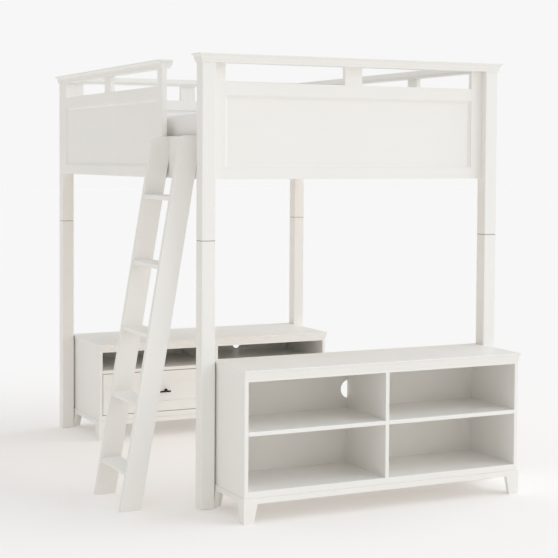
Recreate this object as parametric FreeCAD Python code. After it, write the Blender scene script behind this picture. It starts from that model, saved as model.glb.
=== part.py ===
import FreeCAD, Part
import os

# Loft bed for a full-size mattress, with an open bookcase at one end and a two-drawer console at the other.
# Millimetres, +Z up.  The bed's own corner (front left post, outer corner, floor) is the drawing origin;
# every piece is moved by ORIGIN_SHIFT when it is written, so that the file origin is the centre of the
# whole set's footprint, on the floor.
# +X runs along the short ends, +Y runs from the bookcase end (front) to the console end (back).

V = FreeCAD.Vector

# ---------------------------------------------------------------- driving dimensions: bed
MATTRESS_WIDTH = 1372.0
MATTRESS_LENGTH = 1905.0
MATTRESS_THICKNESS = 200.0
MATTRESS_CORNER_RADIUS = 45.0
MATTRESS_EDGE_RADIUS = 18.0
MATTRESS_CLEARANCE = 11.5

POST_SIZE = 64.0
POST_EDGE_RADIUS = 2.5
POST_JOINT_CHAMFER = 2.0
POST_JOINT_HEIGHT = 1174.0
POST_TOP = 1946.0
GLIDE_THICKNESS = 3.0
GLIDE_RADIUS = 20.0
PIN_RADIUS = 6.0
PIN_LENGTH = 100.0
PIN_CLEARANCE = 0.2

CROWN_HEIGHT = 38.0
CROWN_CAP_THICKNESS = 5.0
CROWN_NECK_HEIGHT = 12.0
CROWN_OVERHANG = 20.0
END_CROWN_INNER_LIP = 12.0
SIDE_CROWN_INNER = 52.0
INNER_NECK_INSET = 8.0
MOULDING_EDGE_RADIUS = 1.5
# Insets of a moulding's edge from its cap's edge, as shares of the cap's overhang.
MOULDING_NECK_SHARE = 0.75
COVE_FOOT_SHARE = 0.60
COVE_TOP_SHARE = 0.15
COVE_BEND_SHARE = 0.55

BOARD_THICKNESS = 24.0
END_FRAME_RECESS = 34.0
FRAME_BOTTOM = 1440.0
LOWER_RAIL_HEIGHT = 51.0
UPPER_RAIL_HEIGHT = 58.0
SLOT_HEIGHT = 82.0
STILE_WIDTH = 60.0
SLOT_STILE_WIDTH = 88.0
SLOT_STILES = {"front": 1, "back": 1, "left": 1, "right": 2}
PANEL_RECESS = 11.0
PANEL_THICKNESS = 8.0
PANEL_TONGUE = 8.0
PANEL_BEAD_WIDTH = 12.0
PANEL_BEAD_HEIGHT = 7.0
FRAME_EDGE_RADIUS = 1.2

SIDE_RAIL_HEIGHT = 191.0
LEDGER_SIZE = 32.0
SLAT_COUNT = 14
SLAT_WIDTH = 75.0
SLAT_THICKNESS = 19.0
SLAT_END_GAP = 1.0
CENTRE_BEAM_WIDTH = 40.0
CENTRE_BEAM_HEIGHT = 66.0
BRACKET_THICKNESS = 3.0
BRACKET_LEG = 40.0
BRACKET_HEIGHT = 80.0
HANGER_WALL = 2.0
HANGER_DEPTH = 45.0
HANGER_FLANGE = 22.0

# ---------------------------------------------------------------- driving dimensions: ladder
ENTRY_GAP = 410.0
LADDER_WIDTH = 360.0
LADDER_GUARD_CLEARANCE = 3.0
LADDER_FOOT_REACH = 332.0
LADDER_SLOPE = 0.170
LADDER_RAIL_DEPTH = 97.0
LADDER_TOP_RADIUS = 33.0
LADDER_EDGE_RADIUS = 2.0
TREAD_COUNT = 5
TREAD_FIRST_TOP = 169.0
TREAD_PITCH = 299.0
TREAD_THICKNESS = 20.0
TREAD_SETBACK = 2.0
LADDER_BOLT_RADIUS = 4.0
LADDER_BOLT_DEPTH = 38.0
LADDER_BOLT_HEAD_RADIUS = 8.0
LADDER_BOLT_HEAD_HEIGHT = 4.0
LADDER_BOLT_CLEARANCE = 0.3

# ---------------------------------------------------------------- driving dimensions: both cabinets
CABINET_POST_CLEARANCE = 8.5
CABINET_BOARD = 18.0
CABINET_BACK = 6.0
CABINET_EDGE_RADIUS = 1.2
TOP_HEIGHT = 32.0
TOP_CAP_THICKNESS = 5.0
TOP_NECK_HEIGHT = 10.0
TOP_FRONT_OVERHANG = 15.0
TOP_SIDE_OVERHANG = 5.0
BOTTOM_TOP = 136.0
BASE_TOP = 108.0
BASE_RAIL_BOTTOM = 84.0
BASE_PROUD = 4.0
BASE_BOARD = 20.0
FOOT_TOP_WIDTH = 64.0
FOOT_FLOOR_WIDTH = 46.0

# ---------------------------------------------------------------- driving dimensions: bookcase
BOOKCASE_HEIGHT = 648.0
BOOKCASE_FRONT = -290.0
BOOKCASE_OPENING_TOP = 599.0
BOOKCASE_SHELF_TOP = 388.0
BOOKCASE_HOLE_RADIUS = 42.0
BOOKCASE_HOLE_HEIGHT = 475.0

# ---------------------------------------------------------------- driving dimensions: console
CONSOLE_HEIGHT = 525.0
CONSOLE_DEPTH = 486.0
CONSOLE_OPENING_TOP = 479.0
CONSOLE_SHELF_TOP = 381.0
CONSOLE_HOLE_RADIUS = 24.0
CONSOLE_HOLE_HEIGHT = 414.0
DRAWER_GAP = 3.0
DRAWER_FRONT_THICKNESS = 20.0
DRAWER_FRAME_WIDTH = 54.0
DRAWER_FIELD_DEPTH = 6.0
DRAWER_BOX_BOARD = 12.0
DRAWER_BOTTOM_THICKNESS = 8.0
DRAWER_BOX_HEIGHT = 170.0
DRAWER_BOX_LIFT = 14.0
DRAWER_BOX_LENGTH = 430.0
RUNNER_SPACE = 13.0
RUNNER_LENGTH = 420.0
RUNNER_HEIGHT = 46.0
RUNNER_WALL = 2.0
RUNNER_DEPTH = 10.0
RUNNER_CENTRE_LIFT = 80.0
INNER_RUNNER_DEPTH = 7.0
INNER_RUNNER_CLEARANCE = 1.5
HANDLE_LENGTH = 112.0
HANDLE_BAR_RADIUS = 5.5
HANDLE_STANDOFF = 26.0
HANDLE_POST_RADIUS = 4.5
HANDLE_POST_SPACING = 76.0

# ---------------------------------------------------------------- worked out from the driving dimensions
BED_WIDTH = MATTRESS_WIDTH + 2 * MATTRESS_CLEARANCE + 2 * POST_SIZE
BED_LENGTH = MATTRESS_LENGTH + 2 * MATTRESS_CLEARANCE + 2 * POST_SIZE
END_CROWN_INNER = POST_SIZE + END_CROWN_INNER_LIP
SLOT_BOTTOM = POST_TOP - SLOT_HEIGHT
PANEL_TOP = SLOT_BOTTOM - UPPER_RAIL_HEIGHT
PANEL_BOTTOM = FRAME_BOTTOM + LOWER_RAIL_HEIGHT
SIDE_RAIL_TOP = FRAME_BOTTOM + SIDE_RAIL_HEIGHT
GUARD_START = POST_SIZE + ENTRY_GAP
MATTRESS_TOP = SIDE_RAIL_TOP + 110.0
SLAT_TOP = MATTRESS_TOP - MATTRESS_THICKNESS
LEDGER_TOP = SLAT_TOP - SLAT_THICKNESS
SIDE_RAIL_INNER = 2 * BOARD_THICKNESS
LADDER_BACK = GUARD_START - LADDER_GUARD_CLEARANCE
LADDER_FRONT = LADDER_BACK - LADDER_WIDTH
CABINET_WIDTH = BED_WIDTH - 2 * POST_SIZE - 2 * CABINET_POST_CLEARANCE
CABINET_LEFT = POST_SIZE + CABINET_POST_CLEARANCE
CABINET_RIGHT = CABINET_LEFT + CABINET_WIDTH
BAY_WIDTH = (CABINET_WIDTH - 3 * CABINET_BOARD) / 2
BAY_LEFTS = (CABINET_LEFT + CABINET_BOARD, CABINET_LEFT + 2 * CABINET_BOARD + BAY_WIDTH)
CONSOLE_FRONT = BED_LENGTH - CONSOLE_DEPTH
BOOKCASE_DEPTH = POST_SIZE - BOOKCASE_FRONT

X_MIN = -LADDER_FOOT_REACH
X_MAX = BED_WIDTH + CROWN_OVERHANG
Y_MIN = BOOKCASE_FRONT - TOP_FRONT_OVERHANG
Y_MAX = BED_LENGTH + CROWN_OVERHANG
ORIGIN_SHIFT = V(-(X_MIN + X_MAX) / 2, -(Y_MIN + Y_MAX) / 2, 0)

X_AXIS = V(1, 0, 0)
Y_AXIS = V(0, 1, 0)
Z_AXIS = V(0, 0, 1)

nodes = {}


# ---------------------------------------------------------------- helpers
def box(x0, x1, y0, y1, z0, z1):
    return Part.makeBox(x1 - x0, y1 - y0, z1 - z0, V(x0, y0, z0))


def prism(points, direction):
    """A closed polygon of points, pushed along a vector."""
    wire = Part.makePolygon(points + [points[0]])
    return Part.Face(wire).extrude(direction)


def edges_along(shape, axis):
    """The straight edges of a shape that run along an axis."""
    found = []
    for edge in shape.Edges:
        run = edge.Vertexes[-1].Point - edge.Vertexes[0].Point
        straight = abs(edge.Length - run.Length) < 1e-6
        if straight and run.cross(axis).Length < 1e-6 * run.Length:
            found.append(edge)
    return found


def eased(shape, axis, radius):
    """Round the long edges of a board."""
    return shape.makeFillet(radius, edges_along(shape, axis))


def eased_all(shape, radius):
    return shape.makeFillet(radius, shape.Edges)


def bolt_hole(shape, radius, start, direction, length):
    return shape.cut(Part.makeCylinder(radius, length, start, direction))


def mirrored(shape, centre, normal):
    return shape.mirror(centre, normal)


def mirrored_across_width(shape):
    return mirrored(shape, V(BED_WIDTH / 2, 0, 0), X_AXIS)


def mirrored_along_length(shape):
    return mirrored(shape, V(0, BED_LENGTH / 2, 0), Y_AXIS)


def add(name, *solids):
    """Keep one node: a single solid, or a group of identical pieces."""
    shape = solids[0] if len(solids) == 1 else Part.makeCompound(list(solids))
    nodes[name] = shape


# ---------------------------------------------------------------- posts
def post_corners():
    far_x = BED_WIDTH - POST_SIZE
    far_y = BED_LENGTH - POST_SIZE
    return {
        "front_left": (0.0, 0.0),
        "front_right": (far_x, 0.0),
        "back_left": (0.0, far_y),
        "back_right": (far_x, far_y),
    }


def chamfer_end(shape, z, size):
    rim = [edge for edge in shape.Edges if all(abs(v.Z - z) < 1e-6 for v in edge.Vertexes)]
    return shape.makeChamfer(size, rim)


def build_posts():
    pins = []
    glides = []
    half_pin = PIN_LENGTH / 2
    for corner, (x, y) in post_corners().items():
        middle = V(x + POST_SIZE / 2, y + POST_SIZE / 2, 0)
        lower = box(x, x + POST_SIZE, y, y + POST_SIZE, GLIDE_THICKNESS, POST_JOINT_HEIGHT)
        upper = box(x, x + POST_SIZE, y, y + POST_SIZE, POST_JOINT_HEIGHT, POST_TOP)
        lower = chamfer_end(eased(lower, Z_AXIS, POST_EDGE_RADIUS), POST_JOINT_HEIGHT, POST_JOINT_CHAMFER)
        upper = chamfer_end(eased(upper, Z_AXIS, POST_EDGE_RADIUS), POST_JOINT_HEIGHT, POST_JOINT_CHAMFER)
        joint = middle + Z_AXIS * POST_JOINT_HEIGHT
        hole = PIN_RADIUS + PIN_CLEARANCE
        lower = bolt_hole(lower, hole, joint, -Z_AXIS, half_pin)
        upper = bolt_hole(upper, hole, joint, Z_AXIS, half_pin + PIN_CLEARANCE)
        add("lower_post_" + corner, lower)
        add("upper_post_" + corner, upper)
        pins.append(Part.makeCylinder(PIN_RADIUS, PIN_LENGTH, joint - Z_AXIS * half_pin))
        glides.append(Part.makeCylinder(GLIDE_RADIUS, GLIDE_THICKNESS, middle))
    add("post_pins", *pins)
    add("post_glides", *glides)


# ---------------------------------------------------------------- mouldings
def moulded_edge(overhang, height, cap, neck):
    """Outline of a moulded edge from the bottom up, as (inset from the cap's edge, height, bend).

    A neck stands proud of the board below, a cove curls out over it, and a thin cap finishes the top.
    The point that is marked as a bend is the middle of the cove's arc.
    """
    neck_inset = MOULDING_NECK_SHARE * overhang
    cove_foot = COVE_FOOT_SHARE * overhang
    cove_bend = COVE_BEND_SHARE * overhang
    cove_top = COVE_TOP_SHARE * overhang
    cap_bottom = height - cap
    return [
        (neck_inset, 0.0, False),
        (neck_inset, neck, False),
        (cove_foot, neck, False),
        (cove_bend, (neck + cap_bottom) / 2, True),
        (cove_top, cap_bottom, False),
        (0.0, cap_bottom, False),
        (0.0, height, False),
    ]


def plain_edge(height):
    return [(0.0, 0.0, False), (0.0, height, False)]


def necked_edge(height, neck, inset):
    """A square cap over a neck that is set back."""
    return [(inset, 0.0, False), (inset, neck, False), (0.0, neck, False), (0.0, height, False)]


def section_prism(low, high, low_edge, high_edge, place, direction):
    """Push a closed section, whose two sides are edge outlines at low and at high, along a vector."""
    rising = [(place(low + inset, height), bend) for inset, height, bend in low_edge]
    falling = [(place(high - inset, height), bend) for inset, height, bend in reversed(high_edge)]
    outline = rising + falling + rising[:1]
    edges = []
    for index in range(len(outline) - 1):
        point, bend = outline[index]
        after, after_bend = outline[index + 1]
        if after_bend:
            edges.append(Part.Arc(point, after, outline[index + 2][0]).toShape())
        elif not bend:
            edges.append(Part.LineSegment(point, after).toShape())
    return Part.Face(Part.Wire(edges)).extrude(direction)


def moulded_board(x_range, y_range, z, x_edges, y_edges):
    """A board whose sides carry edge outlines, mitred at its corners."""
    x0, x1 = x_range
    y0, y1 = y_range
    across = section_prism(x0, x1, *x_edges, lambda d, h: V(d, y0, z + h), Y_AXIS * (y1 - y0))
    lengthways = section_prism(y0, y1, *y_edges, lambda d, h: V(x0, d, z + h), X_AXIS * (x1 - x0))
    board = across.common(lengthways).removeSplitter()
    solid = board.Solids[0]
    top = z + x_edges[0][-1][1]
    rims = [edge for edge in solid.Edges if all(abs(v.Z - top) < 1e-6 for v in edge.Vertexes)]
    return solid.makeFillet(MOULDING_EDGE_RADIUS, rims)


# ---------------------------------------------------------------- crown boards
def build_crowns():
    moulded = moulded_edge(CROWN_OVERHANG, CROWN_HEIGHT, CROWN_CAP_THICKNESS, CROWN_NECK_HEIGHT)
    necked = necked_edge(CROWN_HEIGHT, CROWN_NECK_HEIGHT, INNER_NECK_INSET)
    plain = plain_edge(CROWN_HEIGHT)
    outer = -CROWN_OVERHANG
    front = moulded_board(
        (outer, BED_WIDTH + CROWN_OVERHANG),
        (outer, END_CROWN_INNER),
        POST_TOP,
        (moulded, moulded),
        (moulded, necked),
    )
    add("front_crown", front)
    add("back_crown", mirrored_along_length(front))

    far_end = BED_LENGTH - END_CROWN_INNER
    left = moulded_board(
        (outer, SIDE_CROWN_INNER),
        (GUARD_START - CROWN_OVERHANG / 2, far_end),
        POST_TOP,
        (moulded, necked),
        (moulded, plain),
    )
    right = moulded_board(
        (outer, SIDE_CROWN_INNER),
        (END_CROWN_INNER, far_end),
        POST_TOP,
        (moulded, necked),
        (plain, plain),
    )
    add("left_crown", left)
    add("right_crown", mirrored_across_width(right))


# ---------------------------------------------------------------- framed guard panels
def guard_frame(name, start, end, place):
    """One guard: two rails, two end stiles, short stiles in the slot and a recessed panel.

    It is drawn flat, along X from start to end, with its outer face at Y = 0, and place moves it.
    """
    depth = BOARD_THICKNESS
    inner_start = start + STILE_WIDTH
    inner_end = end - STILE_WIDTH
    stile_ends = [
        box(start, inner_start, 0, depth, FRAME_BOTTOM, POST_TOP),
        box(inner_end, end, 0, depth, FRAME_BOTTOM, POST_TOP),
    ]
    rails = [
        box(inner_start, inner_end, 0, depth, FRAME_BOTTOM, PANEL_BOTTOM),
        box(inner_start, inner_end, 0, depth, PANEL_TOP, SLOT_BOTTOM),
    ]
    slot_stiles = []
    spaces = SLOT_STILES[name] + 1
    for index in range(1, spaces):
        x = inner_start + (inner_end - inner_start) * index / spaces - SLOT_STILE_WIDTH / 2
        slot_stiles.append(box(x, x + SLOT_STILE_WIDTH, 0, depth, SLOT_BOTTOM, POST_TOP))
    stile_ends = [eased(stile, Z_AXIS, FRAME_EDGE_RADIUS) for stile in stile_ends]
    slot_stiles = [eased(stile, Z_AXIS, FRAME_EDGE_RADIUS) for stile in slot_stiles]
    rails = [eased(rail, X_AXIS, FRAME_EDGE_RADIUS) for rail in rails]

    tongue = box(
        inner_start - PANEL_TONGUE,
        inner_end + PANEL_TONGUE,
        PANEL_RECESS,
        PANEL_RECESS + PANEL_THICKNESS,
        PANEL_BOTTOM - PANEL_TONGUE,
        PANEL_TOP + PANEL_TONGUE,
    )
    stile_ends = [stile.cut(tongue) for stile in stile_ends]
    rails = [rail.cut(tongue) for rail in rails]
    panel = tongue.fuse(panel_bead(inner_start, inner_end)).removeSplitter()

    add(name + "_rails", *[place(rail) for rail in rails])
    add(name + "_stiles", *[place(stile) for stile in stile_ends + slot_stiles])
    add(name + "_panel", place(panel))


def panel_bead(start, end):
    """A sloped bead that runs round the panel's field, against the frame."""
    front = PANEL_RECESS - PANEL_BEAD_HEIGHT
    outer = box(start, end, front, PANEL_RECESS, PANEL_BOTTOM, PANEL_TOP)
    run = PANEL_BEAD_WIDTH
    field = Part.makeLoft(
        [
            rectangle(start + run / 3, end - run / 3, front, PANEL_BOTTOM + run / 3, PANEL_TOP - run / 3),
            rectangle(start + run, end - run, PANEL_RECESS, PANEL_BOTTOM + run, PANEL_TOP - run),
        ],
        True,
    )
    return outer.cut(field)


def rectangle(x0, x1, y, z0, z1):
    points = [V(x0, y, z0), V(x1, y, z0), V(x1, y, z1), V(x0, y, z1), V(x0, y, z0)]
    return Part.makePolygon(points)


def build_guards():
    def front(shape):
        return shape.translated(V(0, END_FRAME_RECESS, 0))

    def left(shape):
        return shape.mirror(V(0, 0, 0), V(1, -1, 0))

    def back(shape):
        return mirrored_along_length(front(shape))

    def right(shape):
        return mirrored_across_width(left(shape))

    end_far = BED_WIDTH - POST_SIZE
    side_far = BED_LENGTH - POST_SIZE
    guard_frame("front", POST_SIZE, end_far, front)
    guard_frame("back", POST_SIZE, end_far, back)
    guard_frame("left", GUARD_START, side_far, left)
    guard_frame("right", POST_SIZE, side_far, right)


# ---------------------------------------------------------------- mattress support
def ladder_bolt_places():
    """Centre of each ladder bolt, on the inner face of the left side rail."""
    height = SIDE_RAIL_TOP - BRACKET_HEIGHT * 0.65
    half = BOARD_THICKNESS / 2
    return [V(SIDE_RAIL_INNER, y, height) for y in (LADDER_FRONT + half, LADDER_BACK - half)]


def beam_hanger(y):
    """A steel saddle on the end guard's inner face that carries one end of the centre beam."""
    left = (BED_WIDTH - CENTRE_BEAM_WIDTH) / 2
    right = (BED_WIDTH + CENTRE_BEAM_WIDTH) / 2
    bottom = LEDGER_TOP - CENTRE_BEAM_HEIGHT
    wall = HANGER_WALL
    top = LEDGER_TOP - wall
    saddle = box(left - wall, right + wall, y, y + HANGER_DEPTH, bottom - wall, top)
    flanges = box(left - HANGER_FLANGE, right + HANGER_FLANGE, y, y + wall, bottom - wall, top)
    seat = box(left, right, y, y + HANGER_DEPTH, bottom, top)
    return saddle.fuse(flanges).removeSplitter().cut(seat)


def build_mattress_support():
    inner = SIDE_RAIL_INNER
    far_y = BED_LENGTH - POST_SIZE
    rail = box(BOARD_THICKNESS, inner, POST_SIZE, far_y, FRAME_BOTTOM, SIDE_RAIL_TOP)
    rail = eased(rail, Y_AXIS, FRAME_EDGE_RADIUS)
    right_rail = mirrored_across_width(rail)
    for place in ladder_bolt_places():
        rail = bolt_hole(rail, LADDER_BOLT_RADIUS + LADDER_BOLT_CLEARANCE, place, -X_AXIS, BOARD_THICKNESS)
    add("side_rail_left", rail)
    add("side_rail_right", right_rail)

    end_frame_inner = END_FRAME_RECESS + BOARD_THICKNESS
    ledger = box(inner, inner + LEDGER_SIZE, POST_SIZE, far_y, LEDGER_TOP - LEDGER_SIZE, LEDGER_TOP)
    beam = box(
        (BED_WIDTH - CENTRE_BEAM_WIDTH) / 2,
        (BED_WIDTH + CENTRE_BEAM_WIDTH) / 2,
        end_frame_inner,
        BED_LENGTH - end_frame_inner,
        LEDGER_TOP - CENTRE_BEAM_HEIGHT,
        LEDGER_TOP,
    )
    add("slat_supports", ledger, mirrored_across_width(ledger), beam)
    hanger = beam_hanger(end_frame_inner)
    add("beam_hangers", hanger, mirrored_along_length(hanger))

    slats = []
    first = POST_SIZE + MATTRESS_CLEARANCE
    pitch = (MATTRESS_LENGTH - SLAT_WIDTH) / (SLAT_COUNT - 1)
    for index in range(SLAT_COUNT):
        y = first + index * pitch
        slat = box(
            inner + SLAT_END_GAP,
            BED_WIDTH - inner - SLAT_END_GAP,
            y,
            y + SLAT_WIDTH,
            LEDGER_TOP,
            SLAT_TOP,
        )
        slats.append(eased(slat, X_AXIS, FRAME_EDGE_RADIUS))
    add("slats", *slats)

    bracket = box(inner, inner + BRACKET_THICKNESS, POST_SIZE, POST_SIZE + BRACKET_LEG, 0, BRACKET_HEIGHT)
    post_leg = box(inner, POST_SIZE, POST_SIZE, POST_SIZE + BRACKET_THICKNESS, 0, BRACKET_HEIGHT)
    bracket = bracket.fuse(post_leg).removeSplitter()
    bracket = bracket.translated(Z_AXIS * (SIDE_RAIL_TOP - BRACKET_HEIGHT - BRACKET_THICKNESS))
    left_pair = [bracket, mirrored_along_length(bracket)]
    add("corner_brackets", *left_pair, *[mirrored_across_width(piece) for piece in left_pair])

    mattress = Part.makeBox(
        MATTRESS_WIDTH,
        MATTRESS_LENGTH,
        MATTRESS_THICKNESS,
        V(POST_SIZE + MATTRESS_CLEARANCE, POST_SIZE + MATTRESS_CLEARANCE, SLAT_TOP),
    )
    mattress = eased(mattress, Z_AXIS, MATTRESS_CORNER_RADIUS)
    rims = [edge for edge in mattress.Edges if abs(edge.Vertexes[0].Z - edge.Vertexes[-1].Z) < 1e-6]
    add("mattress", mattress.makeFillet(MATTRESS_EDGE_RADIUS, rims))


# ---------------------------------------------------------------- ladder
def ladder_face(height):
    """X of the ladder's sloping front face at a height."""
    return -LADDER_FOOT_REACH + LADDER_SLOPE * height


def build_ladder():
    stop = BOARD_THICKNESS
    top = SIDE_RAIL_TOP
    cut_start = (stop + LADDER_FOOT_REACH - LADDER_RAIL_DEPTH) / LADDER_SLOPE
    outline = [
        V(ladder_face(0), 0, 0),
        V(ladder_face(0) + LADDER_RAIL_DEPTH, 0, 0),
        V(stop, 0, cut_start),
        V(stop, 0, top),
        V(ladder_face(top), 0, top),
    ]
    rail = prism(outline, Y_AXIS * BOARD_THICKNESS)
    corner = [
        edge
        for edge in edges_along(rail, Y_AXIS)
        if abs(edge.CenterOfMass.z - top) < 1e-6 and edge.CenterOfMass.x < stop - 1
    ]
    rail = rail.makeFillet(LADDER_TOP_RADIUS, corner)
    front_edges = [
        edge
        for edge in rail.Edges
        if abs(edge.CenterOfMass.x - ladder_face(edge.CenterOfMass.z)) < 1e-3 and edge.Length > TREAD_PITCH
    ]
    rail = rail.makeFillet(LADDER_EDGE_RADIUS, front_edges)

    bolts = []
    rails = {"ladder_rail_front": LADDER_FRONT, "ladder_rail_back": LADDER_BACK - BOARD_THICKNESS}
    for (name, y), place in zip(rails.items(), ladder_bolt_places()):
        placed = rail.translated(Y_AXIS * y)
        entry = V(stop, place.y, place.z)
        hole = LADDER_BOLT_RADIUS + LADDER_BOLT_CLEARANCE
        placed = bolt_hole(placed, hole, entry, -X_AXIS, LADDER_BOLT_DEPTH)
        add(name, placed)
        shank = Part.makeCylinder(LADDER_BOLT_RADIUS, BOARD_THICKNESS + LADDER_BOLT_DEPTH, place, -X_AXIS)
        head = Part.makeCylinder(LADDER_BOLT_HEAD_RADIUS, LADDER_BOLT_HEAD_HEIGHT, place, X_AXIS)
        bolts.append(shank.fuse(head).removeSplitter())
    add("ladder_bolts", *bolts)

    treads = []
    for index in range(TREAD_COUNT):
        z1 = TREAD_FIRST_TOP + index * TREAD_PITCH
        z0 = z1 - TREAD_THICKNESS
        x0 = ladder_face(z1) + TREAD_SETBACK
        x1 = ladder_face(z0) + LADDER_RAIL_DEPTH - TREAD_SETBACK
        tread = box(x0, x1, LADDER_FRONT + BOARD_THICKNESS, LADDER_BACK - BOARD_THICKNESS, z0, z1)
        treads.append(eased(tread, Y_AXIS, LADDER_EDGE_RADIUS))
    add("ladder_treads", *treads)


# ---------------------------------------------------------------- cabinets
def cabinet_top(front, depth, height, opening_top):
    """A moulded top with an apron above the openings."""
    body_top = height - TOP_HEIGHT
    front_edge = moulded_edge(TOP_FRONT_OVERHANG, TOP_HEIGHT, TOP_CAP_THICKNESS, TOP_NECK_HEIGHT)
    side_edge = moulded_edge(TOP_SIDE_OVERHANG, TOP_HEIGHT, TOP_CAP_THICKNESS, TOP_NECK_HEIGHT)
    board = moulded_board(
        (CABINET_LEFT - TOP_SIDE_OVERHANG, CABINET_RIGHT + TOP_SIDE_OVERHANG),
        (front - TOP_FRONT_OVERHANG, front + depth),
        body_top,
        (side_edge, side_edge),
        (front_edge, plain_edge(TOP_HEIGHT)),
    )
    apron = box(
        CABINET_LEFT + CABINET_BOARD,
        CABINET_RIGHT - CABINET_BOARD,
        front,
        front + CABINET_BOARD,
        opening_top,
        body_top,
    )
    return board.fuse(apron).removeSplitter()


def cabinet_base(front, depth):
    """Bracket-foot base: four rails and two tapered boards at each corner."""
    x0 = CABINET_LEFT - BASE_PROUD
    x1 = CABINET_RIGHT + BASE_PROUD
    y0 = front - BASE_PROUD
    y1 = front + depth
    board = BASE_BOARD
    pieces = [
        box(x0, x1, y0, y0 + board, BASE_RAIL_BOTTOM, BASE_TOP),
        box(x0, x1, y1 - board, y1, BASE_RAIL_BOTTOM, BASE_TOP),
        box(x0, x0 + board, y0 + board, y1 - board, BASE_RAIL_BOTTOM, BASE_TOP),
        box(x1 - board, x1, y0 + board, y1 - board, BASE_RAIL_BOTTOM, BASE_TOP),
    ]
    across = [
        V(x0, y0, 0),
        V(x0 + FOOT_FLOOR_WIDTH, y0, 0),
        V(x0 + FOOT_TOP_WIDTH, y0, BASE_RAIL_BOTTOM),
        V(x0, y0, BASE_RAIL_BOTTOM),
    ]
    along = [
        V(x0, y0 + board, 0),
        V(x0, y0 + FOOT_FLOOR_WIDTH, 0),
        V(x0, y0 + FOOT_TOP_WIDTH, BASE_RAIL_BOTTOM),
        V(x0, y0 + board, BASE_RAIL_BOTTOM),
    ]
    corner = [prism(across, Y_AXIS * board), prism(along, X_AXIS * board)]
    middle = V((x0 + x1) / 2, (y0 + y1) / 2, 0)
    left = corner + [mirrored(piece, middle, Y_AXIS) for piece in corner]
    feet = left + [mirrored(piece, middle, X_AXIS) for piece in left]
    return pieces + feet


def eased_front(board, axis, front):
    """Round the front edges of a board that run along an axis."""
    rims = [edge for edge in edges_along(board, axis) if abs(edge.CenterOfMass.y - front) < 1e-6]
    return board.makeFillet(CABINET_EDGE_RADIUS, rims)


def build_cabinet(name, front, depth, height, opening_top, shelf_top, holes):
    body_top = height - TOP_HEIGHT
    inner_back = front + depth - CABINET_BACK
    inner_left = CABINET_LEFT + CABINET_BOARD
    inner_right = CABINET_RIGHT - CABINET_BOARD

    top = cabinet_top(front, depth, height, opening_top)
    add(name + "_top", top)

    side = box(CABINET_LEFT, inner_left, front, front + depth, BASE_TOP, body_top)
    side = eased(side, Z_AXIS, CABINET_EDGE_RADIUS)
    add(name + "_sides", side, mirrored_across_width(side))

    bottom = box(inner_left, inner_right, front, inner_back, BASE_TOP, BOTTOM_TOP)
    add(name + "_bottom", eased_front(bottom, X_AXIS, front))

    divider_left = BAY_LEFTS[0] + BAY_WIDTH
    divider = box(divider_left, divider_left + CABINET_BOARD, front, inner_back, BOTTOM_TOP, body_top)
    add(name + "_divider", eased_front(divider.cut(top), Z_AXIS, front))

    shelves = []
    for left in BAY_LEFTS:
        shelf = box(left, left + BAY_WIDTH, front, inner_back, shelf_top - CABINET_BOARD, shelf_top)
        shelves.append(eased_front(shelf, X_AXIS, front))
    add(name + "_shelves", *shelves)

    back = box(inner_left, inner_right, inner_back, front + depth, BASE_TOP, body_top)
    for x, z, radius in holes:
        back = bolt_hole(back, radius, V(x, inner_back, z), Y_AXIS, CABINET_BACK)
    add(name + "_back", back)

    add(name + "_base", *cabinet_base(front, depth))


# ---------------------------------------------------------------- drawers
def drawer_front(x0, x1):
    z0 = BOTTOM_TOP + DRAWER_GAP
    z1 = CONSOLE_SHELF_TOP - CABINET_BOARD - DRAWER_GAP
    board = box(x0, x1, CONSOLE_FRONT, CONSOLE_FRONT + DRAWER_FRONT_THICKNESS, z0, z1)
    board = eased_all(board, CABINET_EDGE_RADIUS)
    frame = DRAWER_FRAME_WIDTH
    field = box(
        x0 + frame,
        x1 - frame,
        CONSOLE_FRONT,
        CONSOLE_FRONT + DRAWER_FIELD_DEPTH,
        z0 + frame,
        z1 - frame,
    )
    return board.cut(field)


def drawer_box(x0, x1):
    board = DRAWER_BOX_BOARD
    y0 = CONSOLE_FRONT + DRAWER_FRONT_THICKNESS
    y1 = y0 + DRAWER_BOX_LENGTH
    z0 = BOTTOM_TOP + DRAWER_BOX_LIFT
    z1 = z0 + DRAWER_BOX_HEIGHT
    return [
        box(x0, x0 + board, y0, y1, z0, z1),
        box(x1 - board, x1, y0, y1, z0, z1),
        box(x0 + board, x1 - board, y0, y0 + board, z0, z1),
        box(x0 + board, x1 - board, y1 - board, y1, z0, z1),
        box(x0 + board, x1 - board, y0 + board, y1 - board, z0, z0 + DRAWER_BOTTOM_THICKNESS),
    ]


def drawer_handle(x, z):
    bar_y = CONSOLE_FRONT - HANDLE_STANDOFF
    bar = Part.makeCylinder(HANDLE_BAR_RADIUS, HANDLE_LENGTH, V(x - HANDLE_LENGTH / 2, bar_y, z), X_AXIS)
    rims = [edge for edge in bar.Edges if edge.Closed]
    bar = bar.makeFillet(HANDLE_BAR_RADIUS / 3, rims)
    face = CONSOLE_FRONT + DRAWER_FIELD_DEPTH
    posts = []
    for side in (-1, 1):
        foot = V(x + side * HANDLE_POST_SPACING / 2, bar_y, z)
        posts.append(Part.makeCylinder(HANDLE_POST_RADIUS, face - bar_y, foot, Y_AXIS))
    return bar.fuse(posts).removeSplitter()


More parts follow.
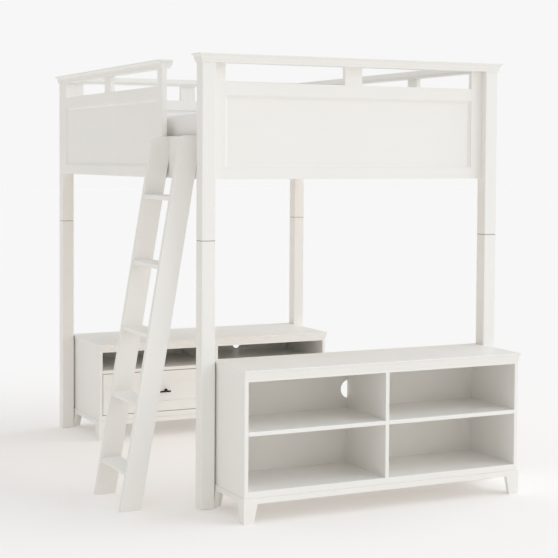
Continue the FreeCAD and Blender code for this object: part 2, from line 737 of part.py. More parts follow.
def runner_pair(left):
    """The cabinet channels and the drawer bars at both sides of one drawer bay."""
    y0 = CONSOLE_FRONT + DRAWER_FRONT_THICKNESS + DRAWER_GAP
    z = BOTTOM_TOP + DRAWER_BOX_LIFT + RUNNER_CENTRE_LIFT
    half = RUNNER_HEIGHT / 2
    wall = RUNNER_WALL
    depth = RUNNER_DEPTH
    section = [
        V(left, y0, z - half),
        V(left + depth, y0, z - half),
        V(left + depth, y0, z - half + wall),
        V(left + wall, y0, z - half + wall),
        V(left + wall, y0, z + half - wall),
        V(left + depth, y0, z + half - wall),
        V(left + depth, y0, z + half),
        V(left, y0, z + half),
    ]
    channel = prism(section, Y_AXIS * RUNNER_LENGTH)
    bar_half = half - wall - INNER_RUNNER_CLEARANCE
    bar = box(
        left + RUNNER_SPACE - INNER_RUNNER_DEPTH,
        left + RUNNER_SPACE,
        y0,
        y0 + RUNNER_LENGTH,
        z - bar_half,
        z + bar_half,
    )
    bay_middle = V(left + BAY_WIDTH / 2, 0, 0)
    channels = [channel, mirrored(channel, bay_middle, X_AXIS)]
    bars = [bar, mirrored(bar, bay_middle, X_AXIS)]
    return channels, bars


def build_drawers():
    channels = []
    handle_height = (BOTTOM_TOP + CONSOLE_SHELF_TOP - CABINET_BOARD) / 2
    for side, left in zip(("left", "right"), BAY_LEFTS):
        name = "drawer_" + side
        right = left + BAY_WIDTH
        bay_channels, bars = runner_pair(left)
        channels += bay_channels
        add(name + "_front", drawer_front(left + DRAWER_GAP, right - DRAWER_GAP))
        add(name + "_box", *drawer_box(left + RUNNER_SPACE, right - RUNNER_SPACE))
        add(name + "_handle", drawer_handle(left + BAY_WIDTH / 2, handle_height))
        add(name + "_bars", *bars)
    add("drawer_channels", *channels)


# ---------------------------------------------------------------- build and write
build_posts()
build_crowns()
build_guards()
build_mattress_support()
build_ladder()
divider_centre = BED_WIDTH / 2
build_cabinet(
    "bookcase",
    BOOKCASE_FRONT,
    BOOKCASE_DEPTH,
    BOOKCASE_HEIGHT,
    BOOKCASE_OPENING_TOP,
    BOOKCASE_SHELF_TOP,
    [(divider_centre, BOOKCASE_HOLE_HEIGHT, BOOKCASE_HOLE_RADIUS)],
)
bay_centres = [left + BAY_WIDTH / 2 for left in BAY_LEFTS]
build_cabinet(
    "console",
    CONSOLE_FRONT,
    CONSOLE_DEPTH,
    CONSOLE_HEIGHT,
    CONSOLE_OPENING_TOP,
    CONSOLE_SHELF_TOP,
    [(x, CONSOLE_HOLE_HEIGHT, CONSOLE_HOLE_RADIUS) for x in bay_centres],
)
build_drawers()

os.makedirs("parts", exist_ok=True)
for node_name, node_shape in nodes.items():
    node_shape.translated(ORIGIN_SHIFT).exportStep("parts/" + node_name + ".step")
print(len(nodes), "nodes written")
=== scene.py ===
import math

import bmesh
import bpy
from mathutils import Matrix, Vector


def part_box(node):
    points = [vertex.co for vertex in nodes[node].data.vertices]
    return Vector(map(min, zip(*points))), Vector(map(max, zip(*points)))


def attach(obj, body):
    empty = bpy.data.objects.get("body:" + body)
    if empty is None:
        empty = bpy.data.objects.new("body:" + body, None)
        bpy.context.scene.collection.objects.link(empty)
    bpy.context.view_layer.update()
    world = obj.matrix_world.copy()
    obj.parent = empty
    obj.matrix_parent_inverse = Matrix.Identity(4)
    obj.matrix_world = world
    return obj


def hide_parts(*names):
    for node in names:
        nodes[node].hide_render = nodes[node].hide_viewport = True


# Finishes and detail pieces for a loft bed with a ladder, an open bookcase and a two-drawer console.
# Metres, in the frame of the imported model: +X across the bed, +Y from bookcase end to console end.

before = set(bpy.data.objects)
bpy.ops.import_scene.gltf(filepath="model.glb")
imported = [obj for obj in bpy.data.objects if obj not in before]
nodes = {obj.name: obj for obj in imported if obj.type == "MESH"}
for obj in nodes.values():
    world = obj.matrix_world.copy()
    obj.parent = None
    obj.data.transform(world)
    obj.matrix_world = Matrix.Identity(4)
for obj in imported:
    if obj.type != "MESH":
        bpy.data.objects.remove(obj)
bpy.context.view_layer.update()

BED_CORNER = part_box("lower_post_front_left")[0].xy

X_AXIS = Vector((1, 0, 0))
Y_AXIS = Vector((0, 1, 0))
Z_AXIS = Vector((0, 0, 1))


# ---------------------------------------------------------------- shader maths
class Value:
    """One shader socket that holds a number: arithmetic on it adds Math nodes."""

    def __init__(self, finish, socket):
        self.finish = finish
        self.socket = socket

    def math(self, operation, *others):
        sockets = {index: other for index, other in enumerate((self, *others))}
        return self.finish.node("ShaderNodeMath", {"operation": operation}, sockets)

    def __add__(self, other):
        return self.math("ADD", other)

    def __mul__(self, other):
        return self.math("MULTIPLY", other)

    def __sub__(self, other):
        return self.math("SUBTRACT", other)

    def __rsub__(self, other):
        return self.finish.node("ShaderNodeMath", {"operation": "SUBTRACT"}, {0: other, 1: self})

    def __truediv__(self, other):
        return self.math("DIVIDE", other)

    __radd__ = __add__
    __rmul__ = __mul__

    def between(self, low, high):
        """0 up to low, 1 from high, and a smooth step in between."""
        sockets = {"Value": self, "From Min": low, "From Max": high}
        return self.finish.node("ShaderNodeMapRange", {"interpolation_type": "SMOOTHSTEP"}, sockets)


class Finish:
    """A node tree under construction, for one material or for the world."""

    def __init__(self, owner):
        self.owner = owner
        owner.use_nodes = True
        self.tree = owner.node_tree

    def node(self, kind, settings=None, sockets=None, output=0):
        """Add a node: settings first, then the values or links of its sockets."""
        made = self.tree.nodes.new(kind)
        for key, setting in (settings or {}).items():
            setattr(made, key, setting)
        for key, value in (sockets or {}).items():
            self.connect(made.inputs[key], value)
        return Value(self, made.outputs[output])

    def connect(self, socket, value):
        if isinstance(value, Value):
            self.tree.links.new(value.socket, socket)
        else:
            socket.default_value = value

    def mix(self, factor, first, second):
        """Blend two colours."""
        colours = {6: padded_colour(first), 7: padded_colour(second)}
        return self.node("ShaderNodeMix", {"data_type": "RGBA"}, {0: factor, **colours}, 2)

    def place(self, scale=(1, 1, 1)):
        """Object coordinates in metres, scaled on each axis."""
        here = self.node("ShaderNodeTexCoord", output="Object")
        return self.node("ShaderNodeMapping", sockets={"Vector": here, "Scale": scale})

    def noise(self, scale, detail=2.0, roughness=0.5, stretch=(1, 1, 1), distortion=0.0):
        """Fractal noise with scale waves to the metre, drawn out along an axis by stretch."""
        sockets = {
            "Vector": self.place(stretch),
            "Scale": scale,
            "Detail": detail,
            "Roughness": roughness,
            "Distortion": distortion,
        }
        return self.node("ShaderNodeTexNoise", sockets=sockets)

    def cells(self, scale, stretch=(1, 1, 1)):
        """Distance to the nearest of scattered points."""
        sockets = {"Vector": self.place(stretch), "Scale": scale}
        return self.node("ShaderNodeTexVoronoi", {"feature": "F1"}, sockets)

    def axes(self):
        """X, Y and Z of Object coordinates, each as a value."""
        here = self.node("ShaderNodeTexCoord", output="Object")
        split = self.node("ShaderNodeSeparateXYZ", sockets={"Vector": here})
        return [Value(self, socket) for socket in split.socket.node.outputs]

    def bump(self, height, strength, depth):
        sockets = {"Height": height, "Strength": strength, "Distance": depth}
        return self.node("ShaderNodeBump", sockets=sockets)


class Coat(Finish):
    """A material with one Principled shader."""

    def __init__(self, name):
        super().__init__(bpy.data.materials.new(name))
        self.shader = self.tree.nodes["Principled BSDF"]

    def set(self, **sockets):
        for key, value in sockets.items():
            self.connect(self.shader.inputs[key.replace("_", " ").title().replace("Ior", "IOR")], value)
        return self.owner


def padded_colour(colour):
    return colour if isinstance(colour, Value) else (*colour, 1)


def along(grain, length):
    """Scale that draws a pattern out along one axis, 0 to 2, by length."""
    scale = [1.0, 1.0, 1.0]
    scale[grain] = 1 / length
    return tuple(scale)


# ---------------------------------------------------------------- finishes
PAINT_WHITE = (0.945, 0.926, 0.890)
PAINT_WARM = (0.926, 0.903, 0.860)
PAINT_GRAIN = (0.820, 0.800, 0.760)
# Post joint line: the joint's darker seam, deepened with painted shade that stands in for the shadow in its
# groove.
SEAM_AND_SHADE_TONE = (0.42, 0.40, 0.37)
SEAM_CORE = 0.0012
SEAM_EDGE = 0.0022


def white_paint(name, grain, seam=None):
    """Satin lacquer on close-grained wood: faint grain, a soft cloud of tone and an uneven sheen.

    seam is the height of a joint, whose groove holds a dark line: the joint's own darker seam, deepened
    with painted shade for the shadow in the groove.
    """
    coat = Coat(name)
    cloud = coat.noise(2.3, detail=3)
    mottle = coat.noise(34, detail=4, roughness=0.6, stretch=along(grain, 3))
    fibre = coat.noise(520, detail=3, roughness=0.6, stretch=along(grain, 26), distortion=0.4)
    peel = coat.noise(950, detail=1)
    tone = cloud.between(0.3, 0.7) * 0.55 + mottle * 0.35
    colour = coat.mix(tone, PAINT_WHITE, PAINT_WARM)
    colour = coat.mix(fibre.between(0.56, 0.8) * 0.16, colour, PAINT_GRAIN)
    # Dark line at the joint height: the joint's seam plus painted shade for the shadow in its groove.
    if seam is not None:
        offset = (coat.axes()[2] - seam).math("ABSOLUTE")
        colour = coat.mix(1 - offset.between(SEAM_CORE, SEAM_EDGE), colour, SEAM_AND_SHADE_TONE)
    height = fibre * 0.6 + peel * 0.3
    return coat.set(
        base_color=colour,
        roughness=0.34 + mottle * 0.12 + peel * 0.05,
        coat_weight=0.12 + mottle * 0.1,
        coat_roughness=0.22,
        normal=coat.bump(height, 0.35, 0.00045),
    )


def painted_board(name):
    """Paint on a thin pressed board: no grain, a fine roller stipple."""
    coat = Coat(name)
    cloud = coat.noise(3.1, detail=3)
    stipple = coat.noise(620, detail=2, roughness=0.7)
    fleck = coat.noise(120, detail=3)
    colour = coat.mix(cloud.between(0.25, 0.75), PAINT_WHITE, PAINT_WARM)
    colour = coat.mix(fleck.between(0.6, 0.8) * 0.1, colour, PAINT_GRAIN)
    return coat.set(
        base_color=colour,
        roughness=0.46 + stipple * 0.12,
        normal=coat.bump(stipple, 0.4, 0.0003),
    )


def bare_pine(name, board_pitch, first_board):
    """Planed pine slats laid along X: every board is cut from its own place in the log."""
    coat = Coat(name)
    y, z = coat.axes()[1:]
    count = (y - first_board) / board_pitch
    board = count.math("FLOOR")
    lot = coat.node("ShaderNodeTexWhiteNoise", {"noise_dimensions": "1D"}, {"W": board})
    across = (count - board) * board_pitch
    pith = lot * 0.09 - 0.01
    waver = coat.noise(3.5, detail=2, stretch=(0.35, 1, 1)) * 0.05
    side = across - pith + waver
    down = z + lot * 0.03 - 1.49 + waver
    radius = (side * side + down * down).math("SQRT")
    ring = (radius * 210 + coat.noise(9, detail=2, stretch=(0.3, 1, 1))).math("FRACT")
    late = ring.between(0.55, 0.95) * (1 - ring.between(0.95, 1.0))
    fibre = coat.noise(700, detail=2, stretch=along(0, 40))
    knots = coat.cells(1.0, (1.2, 6, 6))
    knot = 1 - knots.between(0.05, 0.11)
    tone = late * 0.7 + fibre * 0.25
    colour = coat.mix(tone, (0.71, 0.53, 0.32), (0.47, 0.27, 0.115))
    colour = coat.mix(lot * 0.3, colour, (0.66, 0.45, 0.24))
    colour = coat.mix(knot * 0.75, colour, (0.2, 0.085, 0.03))
    return coat.set(
        base_color=colour,
        roughness=0.52 + fibre * 0.2 - late * 0.08,
        normal=coat.bump(fibre * 0.5 + late * 0.4, 0.4, 0.0005),
    )


def clear_birch(name):
    """Pale birch boards under clear satin lacquer, grain along Y on the sides and X elsewhere."""
    coat = Coat(name)
    figure = coat.noise(26, detail=4, roughness=0.55, stretch=(0.3, 0.3, 1.6), distortion=1.6)
    fibre = coat.noise(560, detail=3, stretch=(0.07, 0.07, 1))
    fleck = coat.noise(240, detail=2, stretch=(0.25, 0.25, 1))
    tone = figure.between(0.35, 0.7) * 0.6 + fibre * 0.3
    colour = coat.mix(tone, (0.74, 0.58, 0.37), (0.58, 0.40, 0.215))
    colour = coat.mix(fleck.between(0.62, 0.8) * 0.35, colour, (0.42, 0.26, 0.12))
    return coat.set(
        base_color=colour,
        roughness=0.38 + fibre * 0.14,
        coat_weight=0.2 + figure * 0.1,
        coat_roughness=0.3,
        normal=coat.bump(fibre, 0.3, 0.0003),
    )


def zinc_plate(name, tint):
    """Bright zinc: cloudy crystals, rolling lines and dull spots."""
    coat = Coat(name)
    cell = coat.cells(160.0)
    cloud = coat.noise(45, detail=4, roughness=0.6)
    line = coat.noise(900, detail=2, stretch=(1, 1 / 30, 1))
    tone = cell * 0.4 + cloud * 0.5
    dark = tuple(channel * 0.72 for channel in tint)
    return coat.set(
        base_color=coat.mix(tone, tint, dark),
        metallic=1.0,
        roughness=0.26 + cloud * 0.16 + line * 0.08,
        normal=coat.bump(line, 0.25, 0.0002),
    )


def dark_bronze(name):
    """Oil-rubbed bronze: near-black, with a brown bloom and brighter rubbed patches."""
    coat = Coat(name)
    cloud = coat.noise(60, detail=5, roughness=0.6)
    grit = coat.noise(900, detail=2)
    rubbed = cloud.between(0.52, 0.72)
    colour = coat.mix(rubbed, (0.030, 0.024, 0.020), (0.105, 0.066, 0.042))
    return coat.set(
        base_color=colour,
        metallic=0.85,
        roughness=0.44 - rubbed * 0.12 + grit * 0.08,
        normal=coat.bump(grit, 0.2, 0.0002),
    )


def nylon(name):
    """Moulded nylon with a spark-eroded surface."""
    coat = Coat(name)
    grit = coat.noise(1500, detail=2, roughness=0.6)
    cloud = coat.noise(90, detail=2)
    colour = coat.mix(cloud, (0.055, 0.052, 0.049), (0.085, 0.081, 0.076))
    return coat.set(base_color=colour, roughness=0.5 + grit * 0.2, normal=coat.bump(grit, 0.4, 0.0002))


def knitted_cover(name, light, shade):
    """Close white knit: rows of small loops with painted shade between them, slubs and a soft sheen."""
    coat = Coat(name)
    x, y, z = coat.axes()
    loops = 2 * math.pi / 0.0028
    course = ((x + z) * loops).math("SINE")
    wale = ((y + z) * loops).math("SINE")
    loop = course * wale * 0.5 + 0.5
    slub = coat.noise(160, detail=3, stretch=(1, 1, 3))
    cloud = coat.noise(5, detail=3)
    fuzz = coat.noise(1400, detail=1)
    # The (1 - loop) term is painted shade: the colour darkens in the hollows between the loops.
    tone = (1 - loop) * 0.28 + slub.between(0.45, 0.75) * 0.25 + cloud * 0.3
    return coat.set(
        base_color=coat.mix(tone, light, shade),
        roughness=0.82 + slub * 0.1,
        sheen_weight=0.25,
        sheen_roughness=0.5,
        normal=coat.bump(loop * 0.7 + slub * 0.3 + fuzz * 0.15, 0.5, 0.0005),
    )


def finish_cad_nodes():
    """Give every carried-over node the finish of its slot, with the grain along its length."""
    paint = [white_paint("paint_grain_" + axis, index) for index, axis in enumerate("xyz")]
    post_paint = white_paint("paint_posts", 2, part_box("lower_post_front_left")[1].z)
    slat_low, slat_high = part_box("slats")
    slat_count = 14
    slat_width = 0.075
    pitch = (slat_high.y - slat_low.y - slat_width) / (slat_count - 1)
    others = {
        "painted_back": painted_board("painted_board"),
        "slat_wood": bare_pine("bare_pine", pitch, slat_low.y),
        "drawer_wood": clear_birch("clear_birch"),
        "steel": zinc_plate("zinc_plate", (0.66, 0.66, 0.65)),
        "runner_steel": zinc_plate("bright_zinc", (0.74, 0.74, 0.74)),
        "bronze": dark_bronze("dark_bronze"),
        "glide_plastic": nylon("nylon"),
        "mattress_fabric": knitted_cover("knitted_cover", (0.94, 0.912, 0.875), (0.88, 0.845, 0.80)),
    }
    for name, node in nodes.items():
        slot = node.data.materials[0].name
        if name.startswith(("lower_post_", "upper_post_")):
            finish = post_paint
        elif slot == "white_paint":
            finish = paint[grain_axis(name)]
        else:
            finish = others[slot]
        node.data.materials[0] = finish
    return others


def grain_axis(name):
    """Uprights run along Z, the ladder's treads and the bed's long sides along Y, the rest along X."""
    upright = ("post", "stiles", "ladder_rail", "_sides", "divider")
    if any(word in name for word in upright):
        return 2
    if name == "ladder_treads" or name.startswith(("left_", "right_", "side_rail")):
        return 1
    return 0


# ---------------------------------------------------------------- mesh helpers
def keep(shape, name, material, smooth=True):
    """Turn a finished bmesh into an object at the origin."""
    mesh = bpy.data.meshes.new(name)
    shape.to_mesh(mesh)
    shape.free()
    for face in mesh.polygons:
        face.use_smooth = smooth
    mesh.materials.append(material)
    piece = bpy.data.objects.new(name, mesh)
    bpy.context.scene.collection.objects.link(piece)
    return piece


def turned(profile, steps):
    """Spin a profile of (radius, height) points round Z into a closed shape."""
    shape = bmesh.new()
    points = [shape.verts.new((radius, 0, height)) for radius, height in profile]
    lines = [shape.edges.new(pair) for pair in zip(points, points[1:])]
    bmesh.ops.spin(
        shape,
        geom=points + lines,
        axis=(0, 0, 1),
        cent=(0, 0, 0),
        angle=2 * math.pi,
        steps=steps,
        use_merge=True,
    )
    bmesh.ops.remove_doubles(shape, verts=shape.verts, dist=1e-6)
    bmesh.ops.recalc_face_normals(shape, faces=shape.faces)
    return shape


def copy_into(target, source, place):
    """Add a copy of one bmesh to another, moved by a matrix."""
    mesh = bpy.data.meshes.new("copy")
    source.to_mesh(mesh)
    mesh.transform(place)
    target.from_mesh(mesh)
    bpy.data.meshes.remove(mesh)


def facing(point, direction):
    """Matrix that stands a turned shape on a point, with its axis along a direction."""
    turn = Z_AXIS.rotation_difference(Vector(direction)).to_matrix().to_4x4()
    return Matrix.Translation(point) @ turn


def arc(centre_radius, centre_height, radius, start, end, steps):
    """Points of a rounded profile, from one angle to another, in degrees from outwards to up."""
    points = []
    for step in range(steps + 1):
        angle = math.radians(start + (end - start) * step / steps)
        out = centre_radius + radius * math.cos(angle)
        up = centre_height + radius * math.sin(angle)
        points.append((out, up))
    return points


# ---------------------------------------------------------------- fasteners
def screw_head(radius, height, socket):
    """A domed head with a six-sided socket, standing on the XY plane."""
    steps = 24
    depth = height * 0.6
    profile = [(radius * 0.94, 0), (radius, height * 0.15), (radius, height * 0.35)]
    profile += [(radius * 0.93, height * 0.68), (radius * 0.78, height * 0.9), (socket * 1.35, height)]
    profile += [(socket, height * 0.97), (socket, height - depth), (0, height - depth * 1.08)]
    shape = turned([(0, 0)] + profile, steps)
    for vert in shape.verts:
        reach = vert.co.xy.length
        if abs(reach - socket) < 1e-6:
            angle = math.atan2(vert.co.y, vert.co.x) % math.radians(60) - math.radians(30)
            vert.co.xy *= math.cos(math.radians(30)) / math.cos(angle)
    return shape


def washer(inner, outer, thickness):
    ease = thickness * 0.25
    profile = [(inner, 0), (outer, 0), (outer, thickness - ease)]
    profile += [(outer - ease, thickness), (inner, thickness), (inner, 0)]
    return turned(profile, 32)


def fasteners(name, body, places, radius, height, material):
    """One piece that holds a group of equal screw heads, each at a (point, direction)."""
    head = screw_head(radius, height, radius * 0.45)
    group = bmesh.new()
    for point, direction in places:
        copy_into(group, head, facing(point, direction))
    head.free()
    piece = keep(group, name, material, smooth=False)
    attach(piece, body)
    return piece


def bracket_screws(steel):
    """Two screws through the long leg of each corner bracket."""
    low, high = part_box("corner_brackets")
    thickness = 0.003
    middle_of_leg = 0.022
    places = []
    for z in (low.z + 0.020, high.z - 0.020):
        for y in (low.y + middle_of_leg, high.y - middle_of_leg):
            places.append(((low.x + thickness, y, z), X_AXIS))
            places.append(((high.x - thickness, y, z), -X_AXIS))
    fasteners("bracket_screws", "frame", places, 0.0052, 0.0028, steel)


def ledger_screws(steel):
    """Screws that hold the two ledgers to the side rails, at even steps."""
    low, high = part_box("slat_supports")
    ledger = 0.032
    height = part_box("slats")[0].z - ledger / 2
    count = 7
    end_distance = 0.090
    start = low.y + end_distance
    pitch = (high.y - low.y - 2 * end_distance) / (count - 1)
    places = []
    for index in range(count):
        y = start + index * pitch
        places.append(((low.x + ledger, y, height), X_AXIS))
        places.append(((high.x - ledger, y, height), -X_AXIS))
    fasteners("ledger_screws", "frame", places, 0.0048, 0.0024, steel)


def drawer_screws(side, steel):
    """Four screws inside the box that hold its painted front."""
    low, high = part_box(f"drawer_{side}_box")
    board = 0.012
    side_distance = 0.090
    places = []
    for x in (low.x + side_distance, high.x - side_distance):
        for z in (low.z + 0.045, high.z - 0.035):
            places.append(((x, low.y + board, z), Y_AXIS))
    fasteners(f"drawer_{side}_screws", f"drawer_{side}", places, 0.0046, 0.0022, steel)


def ladder_bolts(steel):
    """The two bolts that hold the ladder: a shank, a washer and a domed socket head."""
    low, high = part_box("ladder_bolts")
    rail_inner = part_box("side_rail_left")[1].x
    head_radius = 0.008
    centre_height = (low.z + high.z) / 2
    washer_thickness = 0.0012
    shank_radius = 0.004
    shank_length = rail_inner - low.x
    shank = turned([(0, 0), (shank_radius, 0), (shank_radius, shank_length), (0, shank_length)], 24)
    ring = washer(shank_radius, head_radius + 0.0015, washer_thickness)
    head = screw_head(head_radius, high.x - rail_inner - washer_thickness, 0.0032)
    group = bmesh.new()
    for y in (low.y + head_radius, high.y - head_radius):
        copy_into(group, shank, facing((low.x, y, centre_height), X_AXIS))
        copy_into(group, ring, facing((rail_inner, y, centre_height), X_AXIS))
        copy_into(group, head, facing((rail_inner + washer_thickness, y, centre_height), X_AXIS))
    for part in (shank, ring, head):
        part.free()
    piece = keep(group, "ladder_socket_bolts", steel, smooth=False)
    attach(piece, "frame")
    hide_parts("ladder_bolts")


# ---------------------------------------------------------------- drawer handles
def drawer_handle(side, bronze):
    """A cast bar pull: a bowed bar with rounded tips on two waisted posts with round feet."""
    low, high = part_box(f"drawer_{side}_handle")
    centre = (low + high) / 2
    bar_radius = (high.z - low.z) / 2
    half = (high.x - low.x) / 2
    field = high.y
    bar_y = low.y + bar_radius
    post_offset = 0.038
    foot_radius = 0.0105
    foot_height = 0.0035

    tip = arc(0, half - bar_radius * 0.9, bar_radius * 0.9, 0, 90, 6)
    collar = half - bar_radius * 2.6
    rise = [(bar_radius * 0.86, 0.0), (bar_radius * 0.84, collar * 0.5)]
    rise += [(bar_radius * 0.8, collar - 0.003)]
    rise += arc(bar_radius * 0.8, collar, 0.0016, -90, 90, 5)
    half_profile = rise + [(bar_radius * 0.78, collar + 0.003)] + tip
    profile = [(radius, -height) for radius, height in reversed(half_profile)] + half_profile[1:]
    bar = turned(profile, 32)

    reach = field - bar_y
    post = [(0, 0), (foot_radius, 0), (foot_radius, foot_height * 0.5)]
    post += arc(foot_radius - foot_height * 0.5, foot_height * 0.5, foot_height * 0.5, 0, 90, 4)
    post += [(0.0052, foot_height + 0.0015), (0.0040, reach * 0.45), (0.0042, reach * 0.7)]
    post += [(0.0052, reach * 0.92), (0.0, reach)]
    leg = turned(post, 32)

    group = bmesh.new()
    copy_into(group, bar, facing((centre.x, bar_y, centre.z), X_AXIS))
    for x in (centre.x - post_offset, centre.x + post_offset):
        copy_into(group, leg, facing((x, field, centre.z), -Y_AXIS))
    bar.free()
    leg.free()
    piece = keep(group, f"drawer_{side}_pull", bronze)
    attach(piece, f"drawer_{side}")
    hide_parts(f"drawer_{side}_handle")


# ---------------------------------------------------------------- mattress
MATTRESS_SHRINK = 0.005
MATTRESS_SWELL = 0.017
COVER_REACH = Vector((0.016, 0.006, 0))
QUILT_PITCH = 0.150
QUILT_DEPTH = 0.005
COVER_VOXEL = 0.020
CLOTH_FRAMES = 20


def mattress_core(low, high):
    """A closed rounded block, a little smaller than the mattress, for the cover to swell from."""
    inset = Vector((MATTRESS_SHRINK, MATTRESS_SHRINK, 0))
    low = low + inset + Z_AXIS * 0.001
    high = high - inset - Z_AXIS * MATTRESS_SHRINK
    shape = bmesh.new()
    bmesh.ops.create_cube(shape, size=1)
    bmesh.ops.scale(shape, vec=high - low, verts=shape.verts)
    bmesh.ops.translate(shape, vec=(low + high) / 2, verts=shape.verts)
    upright = [edge for edge in shape.edges if abs(edge.verts[0].co.z - edge.verts[1].co.z) > 0.01]
    bmesh.ops.bevel(shape, geom=upright, offset=0.055, affect="EDGES", segments=6, profile=0.5, material=-1)
    rims = [edge for edge in shape.edges if abs(edge.verts[0].co.z - edge.verts[1].co.z) < 0.001]
    rims = [edge for edge in rims if len(edge.link_faces) == 2 and edge.calc_face_angle() > 1.0]
    bmesh.ops.bevel(shape, geom=rims, offset=0.016, affect="EDGES", segments=4, profile=0.5, material=-1)
    return shape


def apply_modifier(piece, kind, **settings):
    """Add one modifier and make its result the piece's mesh."""
    modifier = piece.modifiers.new(kind.title(), kind)
    for key, value in settings.items():
        setattr(modifier, key, value)
    evaluated = piece.evaluated_get(bpy.context.evaluated_depsgraph_get())
    finished = bpy.data.meshes.new_from_object(evaluated)
    piece.modifiers.clear()
    piece.data = finished


def swell(piece, cap, floor_height):
    """Blow the cover up with cloth pressure. No point moves past cap or below floor_height."""
    scene = bpy.context.scene
    cloth = piece.modifiers.new("Cover", "CLOTH")
    cloth.settings.quality = 5
    cloth.settings.mass = 0.4
    cloth.settings.tension_stiffness = 12
    cloth.settings.compression_stiffness = 12
    cloth.settings.bending_stiffness = 0.6
    cloth.settings.use_pressure = True
    cloth.settings.uniform_pressure_force = 4
    cloth.settings.effector_weights.gravity = 0
    start = [vert.co.copy() for vert in piece.data.vertices]
    for number in range(1, CLOTH_FRAMES + 1):
        scene.frame_set(number)
    swollen = piece.evaluated_get(bpy.context.evaluated_depsgraph_get()).data
    moved = [vert.co.copy() for vert in swollen.vertices]
    piece.modifiers.clear()
    scene.frame_set(1)
    for vert, before, after in zip(piece.data.vertices, start, moved):
        step = after - before
        if step.length > cap:
            step *= cap / step.length
        vert.co = before + step
        vert.co.z = max(vert.co.z, floor_height)


def stretch(piece, low, high):
    """Scale the cover across and along so that its fullest points reach the sides of a box."""
    points = [vert.co for vert in piece.data.vertices]
    near = Vector([min(point[axis] for point in points) for axis in range(3)])
    far = Vector([max(point[axis] for point in points) for axis in range(3)])
    scale = ((high.x - low.x) / (far.x - near.x), (high.y - low.y) / (far.y - near.y), 1, 1)
    middle = (low + high) / 2
    start = (near + far) / 2
    middle.z = start.z
    piece.data.transform(Matrix.Translation(middle) @ Matrix.Diagonal(scale) @ Matrix.Translation(-start))


def quilt(piece, low, high):
    """Press sewn diamond channels into the top panel, fading out towards its edges."""
    centre = (low + high) / 2
    border = 0.060
    width = 0.010
    facing_up = [vert.index for vert in piece.data.vertices if vert.normal.z > 0.8]
    for index in facing_up:
        vert = piece.data.vertices[index]
        x = vert.co.x - centre.x
        y = vert.co.y - centre.y
        edge = min((high.x - low.x) / 2 - abs(x), (high.y - low.y) / 2 - abs(y))
        fade = min(max(edge / border - 0.5, 0), 1)
        lines = []
        for along_line in (x + y, x - y):
            off = abs((along_line / QUILT_PITCH + 0.5) % 1 - 0.5) * QUILT_PITCH / math.sqrt(2)
            lines.append(math.exp(-(off / width) ** 2))
        puff = 1 - max(lines)
        vert.co.z += fade * QUILT_DEPTH * (puff - 1)


def mattress(cover):
    low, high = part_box("mattress")
    piece = keep(mattress_core(low, high), "mattress_cover", cover)
    apply_modifier(piece, "REMESH", mode="VOXEL", voxel_size=COVER_VOXEL)
    swell(piece, MATTRESS_SWELL, low.z + 0.0005)
    apply_modifier(piece, "SUBSURF", levels=1, render_levels=1)
    stretch(piece, low - COVER_REACH, high + COVER_REACH)
    for face in piece.data.polygons:
        face.use_smooth = True
    quilt(piece, low, high)
    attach(piece, "frame")
    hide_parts("mattress")


# ---------------------------------------------------------------- studio
FLOOR_TONE = (0.874, 0.831, 0.796)
FLOOR_GLOW = 0.16
BACKGROUND = (0.93, 0.93, 0.93)
SURROUND = (0.600, 0.565, 0.515)
OVERHEAD = (0.720, 0.775, 0.830)


def studio_floor():
    shape = bmesh.new()
    bmesh.ops.create_grid(shape, x_segments=1, y_segments=1, size=60)
    coat = Coat("studio_floor")
    speck = coat.noise(4, detail=2)
    dim = tuple(channel * 0.995 for channel in FLOOR_TONE)
    sheet = coat.set(
        base_color=coat.mix(speck, FLOOR_TONE, dim),
        roughness=0.9,
        specular_ior_level=0.0,
        emission_color=(1, 1, 1, 1),
        emission_strength=FLOOR_GLOW,
    )
    floor = keep(shape, "studio_floor", sheet, smooth=False)


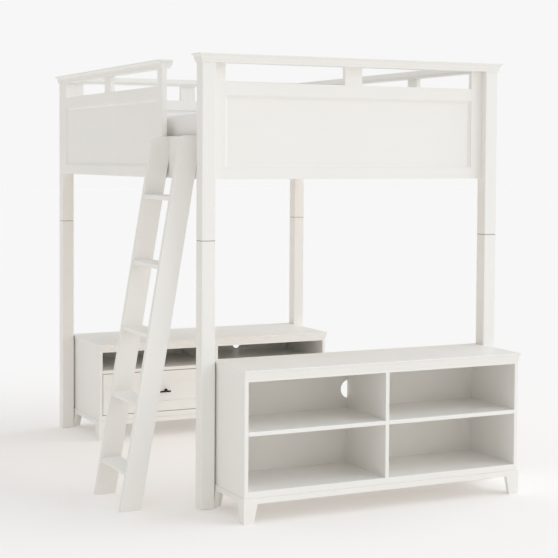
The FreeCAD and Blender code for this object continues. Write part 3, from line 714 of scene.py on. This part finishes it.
def studio_world():
    """An even warm surround that turns cooler and brighter overhead, and plain behind the object."""
    world = bpy.data.worlds.new("studio")
    bpy.context.scene.world = world
    glow = Finish(world)
    towards = glow.node("ShaderNodeTexCoord", output="Generated")
    upwards = {0: towards, 1: Z_AXIS}
    height = glow.node("ShaderNodeVectorMath", {"operation": "DOT_PRODUCT"}, upwards, "Value")
    light = glow.mix(height.between(0.0, 1.0), SURROUND, OVERHEAD)
    ray = glow.node("ShaderNodeLightPath", output="Is Camera Ray")
    seen = glow.mix(ray, light, BACKGROUND)
    back = glow.tree.nodes["Background"]
    glow.connect(back.inputs["Color"], seen)


def sun(name, direction, strength, softness, colour):
    lamp = bpy.data.lights.new(name, "SUN")
    lamp.energy = strength
    lamp.angle = math.radians(softness)
    lamp.color = colour
    holder = bpy.data.objects.new(name, lamp)
    holder.rotation_euler = Vector(direction).to_track_quat("Z", "Y").to_euler()
    bpy.context.scene.collection.objects.link(holder)


def studio_camera():
    turn = math.radians(24.484)
    dip = math.radians(2.462)
    roll = math.radians(0.248)
    place = Vector((BED_CORNER.x - 2.338, BED_CORNER.y - 5.476, 1.537))
    view = Matrix.Rotation(-turn, 4, "Z") @ Matrix.Rotation(math.pi / 2 - dip, 4, "X")
    lens = bpy.data.cameras.new("camera")
    lens.lens = 89.2
    lens.sensor_width = 36
    lens.shift_x = 0.079
    lens.shift_y = -0.112
    holder = bpy.data.objects.new("camera", lens)
    holder.matrix_world = Matrix.Translation(place) @ view @ Matrix.Rotation(roll, 4, "Z")
    bpy.context.scene.collection.objects.link(holder)
    bpy.context.scene.camera = holder


def build():
    finishes = finish_cad_nodes()
    steel = finishes["steel"]
    bracket_screws(steel)
    ledger_screws(steel)
    ladder_bolts(steel)
    for side in ("left", "right"):
        drawer_screws(side, steel)
        drawer_handle(side, finishes["bronze"])
    mattress(finishes["mattress_fabric"])
    studio_floor()
    studio_world()
    sun("key", (0.85, -0.55, 0.50), 0.92, 50, (0.92, 0.957, 1.0))
    sun("side_light", (0.90, 0.15, 0.60), 0.60, 40, (0.77, 0.89, 1.0))
    studio_camera()
    bpy.context.scene.view_settings.view_transform = "Standard"


build()
